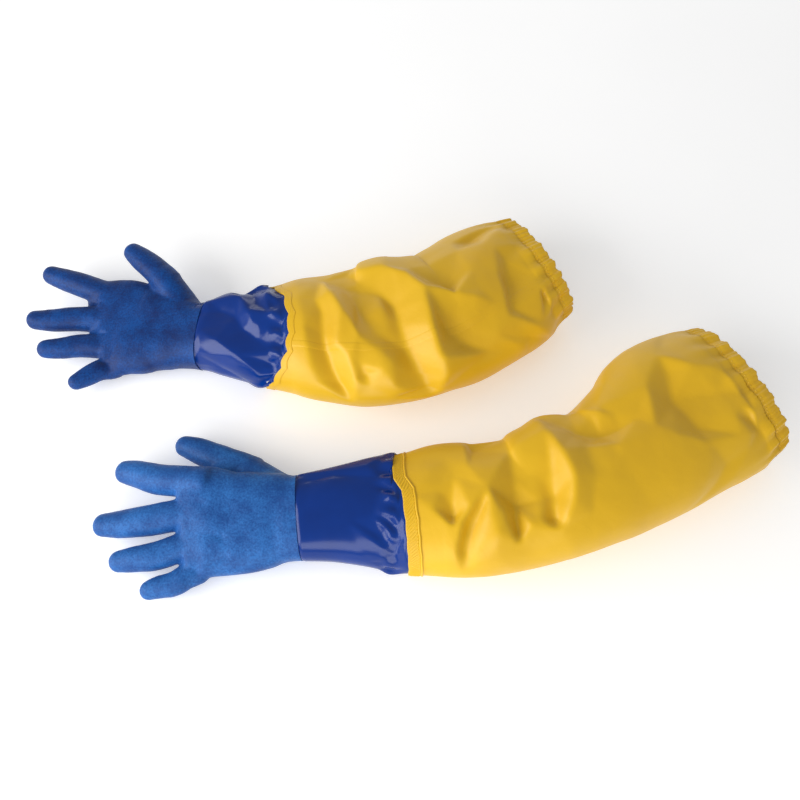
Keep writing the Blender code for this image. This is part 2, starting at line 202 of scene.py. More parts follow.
# Fold lines: distance from the cuff, degrees around the arm from the +Y side over the top, and the height
# above the plain tube. The cloth is flat between one fold line and the next.
FOLDS = {
    "left": [
        [
            (6, 15, 0), (32, 16, 0.5), (56, 17, 1.5), (72, 35, -3.5), (111, 19, -2), (138, 18, 0),
            (153, 15, 3), (162, 18, 3), (164, 40, -3), (188, 28, 0), (206, 32, 2), (221, 48, 3),
        ],
        [(56, 17, 1.5), (63, 63, -0.5), (80, 85, 0.5)],
        [(41, 52, -2), (50, 73, -3)],
        [(14, 87, 0), (30, 101, 0.5), (50, 116, 0.5), (63, 101, 0.8), (80, 85, 0.5)],
        [(38, 86, -3), (48, 100, -7), (50, 112, -6)],
        [(80, 85, 0.5), (60, 108, 1), (54, 136, 1), (60, 171, 0.5)],
        [(74, 95, -4), (62, 120, -8), (59, 143, -6), (60, 171, 0.5)],
        [(80, 85, 0.5), (75, 107, 1.5), (69, 129, 1), (63, 156, 0.5), (60, 171, 0.5)],
        [(80, 85, 0.5), (80, 108, 3), (80, 124, 4.5), (75, 145, 1.5)],
        [(80, 85, 0.5), (89, 111, 2), (96, 138, 0.5)],
        [(110, 53, -3), (107, 81, -8), (101, 105, -11), (96, 130, -7)],
        [(132, 82, -8), (128, 104, -8)],
        [(96, 138, 0.5), (108, 123, 0.5), (122, 120, -1), (131, 133, 0.5)],
        [(144, 81, -7), (137, 106, -11), (132, 128, -7)],
        [
            (153, 15, 3), (153, 50, 3), (155, 75, 3.5), (155, 96, 3.5), (147, 114, 3.5), (137, 127, 2),
            (131, 133, 0.5),
        ],
        [(176, 75, -1), (173, 101, 0), (159, 130, 0)],
        [(164, 40, -3), (176, 56, -5), (194, 68, -6), (224, 73, -4), (243, 75, -1)],
        [(210, 42, 3), (219, 53, 3), (231, 62, 0)],
        [(243, 75, -1), (276, 64, 4), (308, 50, 5), (323, 70, 4), (351, 84, 2)],
        [(308, 50, 5), (327, 35, 2), (351, 14, 1)],
        [(303, 64, -2), (288, 82, -7), (288, 96, -7)],
        [(288, 96, -7), (285, 108, -6), (281, 119, 0)],
        [(330, 94, -3), (327, 113, 0)],
        [(243, 75, -1), (251, 88, 1), (261, 101, 1)],
        [(243, 75, -1), (207, 86, 1.5), (185, 105, 0.5)],
        [(320, 127, 0), (288, 145, -3), (284, 164, 0)],
        [(365, 92, 0), (362, 101, -4.5), (354, 103, 0)],
        [(339, 111, 0), (344, 119, -4), (353, 118, 1)],
        [(333, 130, 0), (347, 132, -3.5), (323, 141, -2)],
        [
            (0, 171, 0), (20, 189, 0), (68, 189, 0), (102, 188, 0), (144, 187, 0), (192, 187, 0),
            (233, 182, 0), (282, 180, 0), (344, 181, 0),
        ],
        [(250, 5, 2), (278, 15, 6), (300, 25, 7), (325, 30, 4)],
    ],
    "right": [
        [
            (0, 30, 0), (26, 26, 1), (51, 43, -1), (83, 39, -3), (92, 27, 1), (126, 23, 4), (138, 23, 4),
            (159, 54, 1),
        ],
        [
            (92, 27, 1), (117, 48, 2), (131, 49, 3.5), (158, 64, 4.5), (167, 80, 6), (165, 95, 6),
            (162, 113, 6.5), (162, 138, 6.5), (162, 156, 4), (159, 173, 1), (153, 185, 0.5),
        ],
        [(167, 80, 6), (197, 93, 4), (213, 104, 3), (225, 116, 0.5)],
        [
            (111, 55, -5), (122, 69, -9), (134, 84, -11), (138, 100, -10), (140, 123, -11),
            (146, 149, -10), (150, 172, -6),
        ],
        [(125, 85, -6), (128, 104, -7)],
        [(170, 96, 0), (173, 114, -7), (183, 132, -7), (197, 148, -4), (224, 175, -1)],
        [(186, 104, -1), (197, 122, -3), (209, 138, -1)],
        [(51, 43, -1), (69, 69, 3), (81, 86, 3.5), (105, 108, 2), (119, 122, -1), (128, 132, 0)],
        [(81, 60, -5), (110, 92, -7), (119, 109, -6)],
        [
            (53, 74, -2), (62, 86, -4), (65, 107, -6), (68, 121, -7), (74, 140, -8), (81, 157, -7),
            (89, 177, 0),
        ],
        [(36, 73, 1.5), (48, 101, 1.5), (56, 125, 1.5), (63, 152, 0.5)],
        [(78, 115, 1.5), (90, 126, 3), (95, 143, 2), (93, 166, 0.5)],
        [(102, 131, 0), (104, 141, -3.5), (105, 153, -0.5)],
        [(119, 138, 2), (128, 154, 1.5)],
        [(135, 164, 0.5), (126, 170, 0)],
        [(245, 47, -1), (260, 53, -6), (303, 45, -1)],
        [(303, 54, 2), (266, 68, 2), (240, 60, 0)],
        [(269, 78, 2), (252, 96, 1), (239, 115, 1), (230, 130, 0.5)],
        [(270, 88, -3), (252, 107, -7), (236, 124, -4)],
        [(278, 107, -4), (300, 111, -1)],
        [(230, 84, 1.5), (221, 100, 1)],
        [(177, 78, -3), (194, 89, -3)],
        [(284, 125, 0), (285, 130, -4.5), (296, 127, 1)],
        [(255, 151, 0), (240, 159, -3), (230, 167, -1)],
        [(290, 145, 0), (287, 153, -3), (264, 150, -1)],
        [
            (0, 197, 0), (33, 195, 0), (68, 197, 0), (87, 196, 0), (104, 196, 0), (123, 195, 0),
            (155, 195, 0), (185, 193, 0), (203, 192, 0), (230, 190, 0), (281, 189, 0),
        ],
    ],
}

SLEEVE_STEP = 2.0
SLEEVE_COLUMNS = 232
COATED_FABRIC_THICKNESS = 0.0009
SMOOTHING_PASSES = 2
# Around the fold lines the tube is plain: the degrees they stop at, how far past the ends that starts, and in
# how many spots it is stated.
BORDER_TURNS = (-48, 236)
BORDER_TURN_STEP = 22
BORDER_LENGTH = 12.0
BORDER_SPOTS = 13
MM_PER_DEGREE = 1.25
# Angles run from this one, under the arm, all the way round.
FIRST_DEGREE = -120
SAMPLES_PER_STATION = 60
MM = 0.001


def run_through(stations, step):
    """Distances at even steps along a smooth line through the stations, and the place at each."""
    table = np.array(stations, float)
    last = len(table) - 1
    t = np.linspace(0, last, SAMPLES_PER_STATION * last + 1)
    k = np.minimum(t.astype(int), last - 1)
    f = (t - k)[:, None]
    padded = np.vstack([2 * table[0] - table[1], table, 2 * table[-1] - table[-2]])
    before, here, there, after = (padded[k + i] for i in range(4))
    fine = 0.5 * (
        2 * here
        + (there - before) * f
        + (2 * before - 5 * here + 4 * there - after) * f**2
        + (3 * here - before - 3 * there + after) * f**3
    )
    gone = np.concatenate([[0], np.cumsum(np.linalg.norm(np.diff(fine[:, :3], axis=0), axis=1))])
    distances = np.linspace(0, gone[-1], int(round(gone[-1] / step)) + 1)
    return distances, np.stack([np.interp(distances, gone, fine[:, c]) for c in range(fine.shape[1])], 1)


def directions_along(middles, roll=0.0):
    """At each place along a tube: the way ahead, the way to its +Y side, and the way up, all square."""
    ahead = np.gradient(middles, axis=0)
    ahead /= np.linalg.norm(ahead, axis=1)[:, None]
    side = np.cross([0.0, 0.0, 1.0], ahead)
    side[side[:, 1] < 0] *= -1
    side /= np.linalg.norm(side, axis=1)[:, None]
    c, s = math.cos(math.radians(roll)), math.sin(math.radians(roll))
    side = side @ np.array([[1, 0, 0], [0, c, s], [0, -s, c]])
    side -= (side * ahead).sum(1)[:, None] * ahead
    side /= np.linalg.norm(side, axis=1)[:, None]
    up = np.cross(side, ahead)
    up[up[:, 2] < 0] *= -1
    return ahead, side, up


def tube_grid(rows, turns, roll=0.0, squareness=2.0, grow=0.0):
    """Points around a tube at each place along it, and the way outwards at each point."""
    _, side, up = directions_along(rows[:, :3], roll)
    c, s = np.cos(turns), np.sin(turns)
    power = 2 / (np.ones(len(rows)) * squareness)[:, None, None]
    across = c[None, :, None] * (np.abs(c)[None, :, None] + 1e-12) ** (power - 1)
    above = s[None, :, None] * (np.abs(s)[None, :, None] + 1e-12) ** (power - 1)
    half_width = rows[:, 3, None, None] / 2 + grow
    half_height = rows[:, 4, None, None] / 2 + grow
    wide, tall = side[:, None] * across, up[:, None] * above
    points = rows[:, None, :3] + wide * half_width + tall * half_height
    outwards = wide * half_height + tall * half_width
    outwards /= np.linalg.norm(outwards, axis=2)[:, :, None]
    return points, outwards


def lay_on_bench(points, lift=0.3):
    """Nothing goes below the bench."""
    points[..., 2] = np.maximum(points[..., 2], lift)
    return points


def relaxed(depths, passes):
    """Depths on a grid, evened out with their neighbours. The grid closes on itself around the arm."""
    for _ in range(passes):
        depths = (np.roll(depths, 1, 1) + 2 * depths + np.roll(depths, -1, 1)) / 4
        tall = np.vstack([depths[:1], depths, depths[-1:]])
        depths = (tall[:-2] + 2 * tall[1:-1] + tall[2:]) / 4
    return depths


def folded(lines, distances, turns_in_degrees):
    """The height above the plain tube over a grid, with a flat facet between every three fold points."""
    spots, heights, creases = [], [], []
    known = {}

    def spot(along, turn, height):
        if (along, turn) not in known:
            known[(along, turn)] = len(spots)
            spots.append(Vector((along, turn * MM_PER_DEGREE)))
            heights.append(height)
        return known[(along, turn)]

    for line in lines:
        numbers = [spot(*place) for place in line]
        creases += list(zip(numbers, numbers[1:]))
    before, after = -BORDER_LENGTH, distances[-1] + BORDER_LENGTH
    for turn in BORDER_TURNS:
        for along in np.linspace(before, after, BORDER_SPOTS):
            spot(float(along), turn, 0.0)
    for along in (before, after):
        for turn in range(BORDER_TURNS[0] + 20, BORDER_TURNS[1], BORDER_TURN_STEP):
            spot(float(along), turn, 0.0)
    corners, _, facets, origins, _, _ = delaunay_2d_cdt(spots, creases, [], 0, 1e-4)
    known_spots = np.array([tuple(s) for s in spots])
    found = []
    for corner, origin in zip(corners, origins):
        if origin:
            found.append(heights[origin[0]])
        else:
            away = np.hypot(*(known_spots - np.array(corner)).T)
            nearest = np.argsort(away)[:3]
            near_heights = np.array(heights)[nearest]
            found.append(float(np.average(near_heights, weights=1 / (away[nearest] + 1))))
    turns = (turns_in_degrees - FIRST_DEGREE) % 360 + FIRST_DEGREE
    along, around = np.meshgrid(distances, turns * MM_PER_DEGREE, indexing="ij")
    result = np.zeros_like(along)
    for facet in facets:
        (ax, ay), (bx, by), (cx, cy) = (corners[k] for k in facet)
        area = (bx - ax) * (cy - ay) - (cx - ax) * (by - ay)
        if abs(area) < 1e-6:
            continue
        second = ((along - ax) * (cy - ay) - (cx - ax) * (around - ay)) / area
        third = ((bx - ax) * (around - ay) - (along - ax) * (by - ay)) / area
        first = 1 - second - third
        inside = (first >= -1e-6) & (second >= -1e-6) & (third >= -1e-6)
        blend = first * found[facet[0]] + second * found[facet[1]] + third * found[facet[2]]
        result[inside] = blend[inside]
    return result


def ripple(points, size, seed):
    """A smooth random value between about -1 and 1 at each point, changing over this size in millimetres."""
    flat = points.reshape(-1, 3) / size + seed
    return np.array([noise.noise(Vector(p)) for p in flat]).reshape(points.shape[:-1])


def grid_piece(name, points, material, closed=True):
    """A piece through a grid of points, with rows along the arm and columns around it."""
    count, columns = points.shape[:2]
    flat = points.reshape(-1, 3) * MM
    strips = columns if closed else columns - 1
    row, column = np.meshgrid(np.arange(count - 1), np.arange(strips), indexing="ij")
    beside = (column + 1) % columns
    here, onwards = row * columns, (row + 1) * columns
    quads = np.stack([here + column, here + beside, onwards + beside, onwards + column], -1).reshape(-1, 4)
    mesh = bpy.data.meshes.new(name)
    mesh.from_pydata(flat.tolist(), [], quads.tolist())
    mesh.shade_smooth()
    piece = bpy.data.objects.new(name, mesh)
    bpy.context.scene.collection.objects.link(piece)
    mesh.materials.append(material)
    return piece


def thicken(piece, thickness):
    """Give a skin its wall, inwards, and apply it."""
    wall = piece.modifiers.new("wall", "SOLIDIFY")
    wall.thickness = thickness
    wall.offset = -1
    bpy.context.view_layer.objects.active = piece
    piece.select_set(True)
    bpy.ops.object.modifier_apply(modifier="wall")
    piece.select_set(False)


# Gathers: the elastic pulls the cloth into small puckers, which run together and fade towards the elbow.
PUCKERS = 86
PUCKER_LIFT = 0.8
PUCKER_REACH = 5.0
WIDE_PUCKERS = 19
WIDE_PUCKER_LIFT = 2.0
WIDE_PUCKER_REACH = 13.0
STITCH_PINCH = 0.9
STITCH_PINCH_REACH = 3.4
HEM_DEPTH = 15.0


def gathered(turns, past_stitching, seed):
    """How far the gathers lift the cloth, by angle and by distance past the hem's stitching."""
    wander = 1.3 * np.sin(3 * turns + seed) + 1.7 * np.sin(5 * turns + 2.1 * seed)
    wander = wander + 0.9 * np.sin(11 * turns + seed)
    small = np.sin(PUCKERS * turns + wander)
    small = np.sign(small) * np.abs(small) ** 0.8
    uneven = 0.65 + 0.35 * np.sin(7 * turns + 1.3 * seed) * np.cos(4 * turns - seed)
    wide = np.sin(WIDE_PUCKERS * turns + 1.6 * np.sin(4 * turns + seed) + seed)
    behind = np.minimum(past_stitching, 0)[:, None]
    ahead = np.clip(past_stitching / HEM_DEPTH, 0, 1)[:, None]
    lift = np.exp(behind / PUCKER_REACH) * (PUCKER_LIFT - 0.15 * ahead) * small * uneven
    lift = lift + WIDE_PUCKER_LIFT * np.exp(behind / WIDE_PUCKER_REACH) * wide * (1 - 0.2 * ahead)
    pinch = -STITCH_PINCH * np.exp(-(((past_stitching[:, None] - 1.0) / STITCH_PINCH_REACH) ** 2))
    return lift + pinch


# Satin PVC-coated polyester: a calendered coating over a fine cloth. It is even, a little glossy, and the
# cloth beneath gives it a faint grain. The cloth's threads are 0.4 mm apart and are drawn at 1.1 mm to show.
coated_fabric, fabric_place = new_material("yellow_pvc_coated_polyester")
fabric_tone = add(coated_fabric, "TexNoise", {"Vector": fabric_place, "Scale": 14.0, "Detail": 4.0})
fabric_grain = add(coated_fabric, "TexNoise", {"Vector": fabric_place, "Scale": 900.0, "Detail": 2.0})
fabric_crease = add(
    coated_fabric, "TexNoise", {"Vector": fabric_place, "Scale": 75.0, "Detail": 5.0, "Distortion": 1.2}
)
fabric_fine = add(
    coated_fabric,
    "Bump",
    {"Height": fabric_grain.outputs["Fac"], "Strength": 0.10, "Distance": 0.0002},
)
fabric_bump = add(
    coated_fabric,
    "Bump",
    {
        "Height": fabric_crease.outputs["Fac"],
        "Strength": 0.18,
        "Distance": 0.0012,
        "Normal": fabric_fine.outputs["Normal"],
    },
)
fabric_gloss = add(
    coated_fabric,
    "MapRange",
    {"Value": fabric_tone.outputs["Fac"], "From Min": 0.3, "From Max": 0.7, "To Min": 0.42, "To Max": 0.50},
)
surface(
    coated_fabric,
    Base_Color=mixed(coated_fabric, fabric_tone.outputs["Fac"], "D6A502", "E7B805"),
    Roughness=fabric_gloss.outputs["Result"],
    IOR=1.5,
    Sheen_Weight=0.08,
    Normal=fabric_bump.outputs["Normal"],
)

# The cuff's front edge follows the gauntlet's rim: degrees around the arm, and millimetres towards the elbow.
CUFF_EDGE = {
    "left": [
        (-120, 0), (-40, -2), (20, -3.8), (66, -3.8), (80, 3.4), (110, 4.2), (150, 2.4), (190, -0.5),
        (240, 0),
    ],
    "right": [
        (-120, 0), (0, -3), (25, -1), (45, 9), (70, 24), (100, 32), (125, 31), (150, 20), (175, 7),
        (195, 0), (240, 0),
    ],
}
SCALLOPS = {"left": 0.5, "right": 3.0}
SCALLOP_COUNT = 17
# The cloth starts this far under the band, and its rows are drawn together over this length behind the edge.
UNDER_BAND = 1.5
EDGE_REACH = 80.0
# The folds' real heights are this much more than the fold lines say. They fade out near the hem.
FOLD_SHARE = 1.35
FADE_LENGTH = 14.0
# Gentle waves in the cloth: height and size.
SLEEVE_WAVES = ((0.5, 38.0), (0.22, 15.0))
# The elbow lies between these two places along the sleeve. They are kept with each sleeve, and nothing here
# bends it.
ELBOW_PLACES = (3, 7)


def band_edge(side, turns):
    """How far the cuff's front edge lies towards the elbow, by angle."""
    degrees = (np.degrees(turns) - FIRST_DEGREE) % 360 + FIRST_DEGREE
    places, values = zip(*CUFF_EDGE[side])
    wave = np.abs(np.sin(SCALLOP_COUNT / 2 * turns + 0.7 * np.sin(3 * turns)))
    return np.interp(degrees, places, values) - SCALLOPS[side] * wave


def started_at(edge, distances, points):
    """The same surface, with its rows drawn together towards a wavy front edge."""
    share = np.clip(1 - distances / EDGE_REACH, 0, 1)[:, None]
    moved = distances[:, None] + (edge[None, :] + UNDER_BAND) * share
    place = np.clip(moved / SLEEVE_STEP, 0, len(distances) - 1.001)
    low = place.astype(int)
    share = (place - low)[:, :, None]
    column = np.arange(points.shape[1])[None, :]
    return points[low, column] * (1 - share) + points[low + 1, column] * share


sleeves = {}
around = np.linspace(0, 2 * math.pi, SLEEVE_COLUMNS, endpoint=False)
for side, seed in (("left", 1.0), ("right", 4.0)):
    distances, rows = run_through(SLEEVE[side], SLEEVE_STEP)
    points, outwards = tube_grid(rows, around)
    heights = relaxed(folded(FOLDS[side], distances, np.degrees(around)), SMOOTHING_PASSES) * FOLD_SHARE
    heights += sum(height * ripple(points, size, seed) for height, size in SLEEVE_WAVES)
    heights *= np.clip((distances[-1] - distances) / FADE_LENGTH, 0, 1)[:, None]
    heights += gathered(around[None, :], distances - distances[-1], seed)
    surface_points = lay_on_bench(points + outwards * heights[:, :, None])
    points = started_at(band_edge(side, around), distances, surface_points)
    piece = grid_piece(f"{side}_sleeve_cloth", points, coated_fabric)
    thicken(piece, COATED_FABRIC_THICKNESS)
    elbow_start, elbow_end = (np.array(SLEEVE[side][k][:3]) * MM for k in ELBOW_PLACES)
    sleeves[side] = {
        "piece": piece,
        "rows": rows,
        "points": surface_points,
        "outwards": outwards,
        "bend": (f"{side}_forearm", f"{side}_upper_arm", elbow_start, elbow_end),
    }
    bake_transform(piece)
    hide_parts(f"{side}_sleeve_lower", f"{side}_sleeve_elbow", f"{side}_sleeve_upper")

# ---------------------------------------------------------------------------------------------------------
# Sleeve seam
# The edge of the same fabric, lapped over the other edge and welded flat with hot air.
# ---------------------------------------------------------------------------------------------------------

SEAM_TURN = {"left": -132.0, "right": 118.0}
SEAM_RISE = 0.16
# The lap's section: columns of the sleeve from its middle line, and its height as a share of the rise.
SEAM_SECTION = ((-1.9, 0.05), (-1.7, 1), (-0.8, 1), (0, 1), (0.8, 1), (1.7, 1), (1.9, 0.05))
# It runs from behind the cuff's band to the hem: rows of the sleeve.
SEAM_ROWS = slice(17, -3)
SEAM_CLEARANCE = 0.05

for side, sleeve in sleeves.items():
    middle_column = math.radians(SEAM_TURN[side]) % (2 * math.pi) / (2 * math.pi) * SLEEVE_COLUMNS
    strip = []
    for step, rise in SEAM_SECTION:
        place = middle_column + step
        low = int(math.floor(place))
        part = place - low
        first, second = (sleeve["points"][SEAM_ROWS, (low + k) % SLEEVE_COLUMNS] for k in (0, 1))
        out = sleeve["outwards"][SEAM_ROWS, low % SLEEVE_COLUMNS]
        strip.append(first * (1 - part) + second * part + out * (SEAM_RISE * rise))
    strip = lay_on_bench(np.stack(strip, 1), SEAM_CLEARANCE)
    seam = grid_piece(f"{side}_sleeve_seam", strip, coated_fabric, closed=False)
    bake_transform(seam)
    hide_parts(f"{side}_seam_lower", f"{side}_seam_upper")

# ---------------------------------------------------------------------------------------------------------
# Hem
# The sleeve's end is turned back inside itself and stitched, and a flat elastic in the tunnel gathers it.
# ---------------------------------------------------------------------------------------------------------

HEM_COLUMNS = 448
TAPERING = 0.004
EDGE_WAVES = 31
EDGE_WAVE_HEIGHT = 0.9
HEM_CLEARANCE = 0.15
TURNED_IN = 3.6
# The hem's section: distance past the stitching, and height above the sleeve. It is rounded where it turns.
HEM_SECTION = (
    [(-1.2, 0.25), (0.2, 0.3)]
    + [(step, 0.35) for step in (1.4, 2.6, 3.8, 5.2, 6.6, 8.0, 9.4, 10.8, 12.0, 13.0)]
    + [(14.0, 0.15), (14.7, -0.5), (15.0, -1.6), (14.7, -2.7), (14.0, -3.3), (13.0, -TURNED_IN)]
    + [(step, -TURNED_IN) for step in (11.0, 9.0, 7.0, 5.0, 3.0, 1.0)]
)
ELASTIC_SECTION = [(step, -1.55) for step in (3.0, 4.5, 6.0, 7.5, 9.0, 10.5, 12.0)]


def hem_grid(side, seed, section):
    """Points of a gathered ring around the sleeve's end, with this section."""
    rows = sleeves[side]["rows"]
    last = rows[-1]
    ahead = rows[-1, :3] - rows[-2, :3]
    ahead /= np.linalg.norm(ahead)
    turns = np.linspace(0, 2 * math.pi, HEM_COLUMNS, endpoint=False)
    steps = np.array([step for step, _ in section])
    middles = last[:3] + ahead * steps[:, None]
    widths = last[3:] * (1 - TAPERING * steps[:, None])
    points, outwards = ring_grid(np.hstack([middles, widths]), ahead, turns)
    lift = gathered(turns[None, :], steps, seed) + np.array([rise for _, rise in section])[:, None]
    edge = EDGE_WAVE_HEIGHT * np.sin(EDGE_WAVES * turns + seed) * (steps[:, None] / HEM_DEPTH).clip(0, 1)
    return lay_on_bench(points + outwards * lift[:, :, None] + ahead * edge[:, :, None], HEM_CLEARANCE)


def ring_grid(rows, ahead, turns):
    """Points around rings that all face the same way, and the way outwards at each point."""
    level = np.cross([0.0, 0.0, 1.0], ahead)
    level /= np.linalg.norm(level) * (1 if level[1] > 0 else -1)
    up = np.cross(level, ahead)
    up *= 1 if up[2] > 0 else -1
    c, s = np.cos(turns)[None, :, None], np.sin(turns)[None, :, None]
    half_width, half_height = rows[:, 3, None, None] / 2, rows[:, 4, None, None] / 2
    points = rows[:, None, :3] + level * c * half_width + up * s * half_height
    outwards = level * c * half_height + up * s * half_width
    return points, outwards / np.linalg.norm(outwards, axis=2)[:, :, None]


# Knitted elastic: covered rubber threads in a flat ribbed tape, off-white and matt.
elastic_tape, elastic_place = new_material("white_knitted_elastic")
elastic_rib = add(elastic_tape, "TexNoise", {"Vector": elastic_place, "Scale": 700.0, "Detail": 2.0})
rib_relief = {"Height": elastic_rib.outputs["Fac"], "Strength": 0.5, "Distance": 0.0004}
elastic_bump = add(elastic_tape, "Bump", rib_relief)
surface(
    elastic_tape,
    Base_Color=mixed(elastic_tape, elastic_rib.outputs["Fac"], "DAD6CB", "F4F1EA"),
    Roughness=0.85,
    Normal=elastic_bump.outputs["Normal"],
)

# Spun polyester sewing thread, dyed to match the sleeve: twisted, so it is matt with a slight sheen.
thread, thread_place = new_material("yellow_polyester_thread")
thread_twist = add(thread, "TexNoise", {"Vector": thread_place, "Scale": 1600.0, "Detail": 1.0})
twist_relief = {"Height": thread_twist.outputs["Fac"], "Strength": 0.4, "Distance": 0.0002}
thread_bump = add(thread, "Bump", twist_relief)
surface(
    thread,
    Base_Color=mixed(thread, thread_twist.outputs["Fac"], "CFA21A", "EBC53C"),
    Roughness=0.7,
    Sheen_Weight=0.2,
    Normal=thread_bump.outputs["Normal"],
)

STITCHES = 104
STITCH_LENGTH = 2.3
STITCH_RADIUS = 0.42
STITCH_SIDES = 6
# Along a stitch: the place as a share of its length, how far it stands out, and its share of the radius.
STITCH_SECTION = ((-0.5, -0.5, 0.3), (-0.3, 0.1, 0.9), (0, 0.25, 1.0), (0.3, 0.1, 0.9), (0.5, -0.5, 0.3))
TAPE_THICKNESS = 0.0007

for side, seed in (("left", 1.0), ("right", 4.0)):
    hem = grid_piece(f"{side}_gathered_hem", hem_grid(side, seed, HEM_SECTION), coated_fabric)
    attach(hem, f"{side}_upper_arm")
    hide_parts(f"{side}_hem_casing")
    tape = grid_piece(f"{side}_hem_elastic", hem_grid(side, seed, ELASTIC_SECTION), elastic_tape)
    thicken(tape, TAPE_THICKNESS)
    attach(tape, f"{side}_upper_arm")
    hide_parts(f"{side}_elastic")
    # A stitch is a short capsule that dips into the cloth at both ends.
    line = hem_grid(side, seed, [(1.5, 0.45), (1.6, 0.45)])[0]
    away = np.concatenate([[0], np.cumsum(np.linalg.norm(np.diff(line, axis=0), axis=1))])
    stitches = bmesh.new()
    for number in range(STITCHES):
        middle = away[-1] * (number + 0.5) / STITCHES
        rings = []
        for part, stands, radius in STITCH_SECTION:
            spot = middle + part * STITCH_LENGTH
            place = np.array([np.interp(spot, away, line[:, c]) for c in range(3)])
            later = np.array([np.interp(spot + 0.5, away, line[:, c]) for c in range(3)])
            forward = Vector(later - place).normalized()
            out = Vector(place - sleeves[side]["rows"][-1, :3]).normalized()
            beside = forward.cross(out).normalized()
            centre = Vector(place) + out * stands
            ring = []
            for k in range(STITCH_SIDES):
                a = 2 * math.pi * k / STITCH_SIDES
                way = out * math.cos(a) + beside * math.sin(a)
                ring.append(stitches.verts.new((centre + way * STITCH_RADIUS * radius) * MM))
            rings.append(ring)
        for first, second in zip(rings, rings[1:]):
            for k in range(STITCH_SIDES):
                n = (k + 1) % STITCH_SIDES
                stitches.faces.new((first[k], first[n], second[n], second[k]))
        stitches.faces.new(rings[0][::-1])
        stitches.faces.new(rings[-1])
    bmesh.ops.recalc_face_normals(stitches, faces=stitches.faces)
    mesh = bpy.data.meshes.new(f"{side}_hem_stitches")
    stitches.to_mesh(mesh)
    stitches.free()
    mesh.shade_smooth()
    mesh.materials.append(thread)
    row = bpy.data.objects.new(f"{side}_hem_stitches", mesh)
    bpy.context.scene.collection.objects.link(row)
    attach(row, f"{side}_upper_arm")
    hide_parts(f"{side}_hem_stitch")

# ---------------------------------------------------------------------------------------------------------
# Cuff
# The sleeve's end is laid over the gauntlet and welded with a ribbed tool, which leaves slanting ribs, and a
# rolled bead stands beside the weld. The cut edge follows the gauntlet's wavy rim.
# ---------------------------------------------------------------------------------------------------------

CUFF_COLUMNS = 960
BAND_LENGTHS = {"left": 10.5, "right": 6.5}
BAND_ROWS = 13
# The cut edge comes up from inside the sleeve, through these heights above its cloth.
EDGE_RISES = (-1.2, -0.4, 0.2)
BEAD_ANGLES = np.linspace(-0.4, 3.5, 9)
BAND_CLEARANCE = 0.05
BAND_RISE = {"left": 0.6, "right": 0.35}
RIB_HEIGHT = {"left": 0.5, "right": 0.12}
RIBS = 112
RIB_SLANT = 6.0
BEAD_RADIUS = {"left": 1.2, "right": 0.5}


def on_sleeve(side, turns, distance, rise):
    """Points around the cuff at this distance along the sleeve, this far above its cloth."""
    points, outwards, rows = (sleeves[side][name] for name in ("points", "outwards", "rows"))
    ahead = (rows[2, :3] - rows[0, :3]) / np.linalg.norm(rows[2, :3] - rows[0, :3])
    column = turns / (2 * math.pi) * SLEEVE_COLUMNS
    low = column.astype(int) % SLEEVE_COLUMNS
    high = (low + 1) % SLEEVE_COLUMNS
    part = (column - np.floor(column))[:, None]
    place = np.clip(distance / SLEEVE_STEP, 0, len(rows) - 1.01)
    first = place.astype(int)
    share = (place - first)[:, None]
    base = (points[first, low] * (1 - part) + points[first, high] * part) * (1 - share)
    base += (points[first + 1, low] * (1 - part) + points[first + 1, high] * part) * share
    out = outwards[0, low] * (1 - part) + outwards[0, high] * part
    return base + ahead * np.minimum(distance, 0)[:, None] + out * rise


for side in sleeves:
    turns = np.linspace(0, 2 * math.pi, CUFF_COLUMNS, endpoint=False)
    edge = band_edge(side, turns)
    length = BAND_LENGTHS[side]
    grid = [on_sleeve(side, turns, edge, rise) for rise in EDGE_RISES]
    for share in np.linspace(0, 1, BAND_ROWS):
        ribs = np.sin(RIBS * turns + RIB_SLANT * math.pi * share)[:, None]
        fade = min(1.0, 6 * share, 6 * (1 - share))
        rise = BAND_RISE[side] + RIB_HEIGHT[side] * fade * ribs
        grid.append(on_sleeve(side, turns, edge + length * share, rise))
    grid.append(on_sleeve(side, turns, edge + length + 0.4, 0.02))
    grid = lay_on_bench(np.stack(grid), BAND_CLEARANCE)
    band = grid_piece(f"{side}_cuff_weld_band", grid, coated_fabric)
    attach(band, f"{side}_forearm")
    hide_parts(f"{side}_cuff_band")

    radius = BEAD_RADIUS[side]
    bead_line = edge + length + radius
    sections = [
        on_sleeve(side, turns, bead_line - radius * math.cos(angle), radius * math.sin(angle))
        for angle in BEAD_ANGLES
    ]
    sections = lay_on_bench(np.stack(sections), BAND_CLEARANCE)
    bead = grid_piece(f"{side}_cuff_bead_roll", sections, coated_fabric)
    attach(bead, f"{side}_forearm")
    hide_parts(f"{side}_cuff_bead")

# ---------------------------------------------------------------------------------------------------------
# Gauntlet
# Smooth PVC, dipped over the knitted lining and cured to a wet gloss, so it shows sharp reflections. It is
# puckered where the sleeve's weld takes up its wider rim.
# ---------------------------------------------------------------------------------------------------------

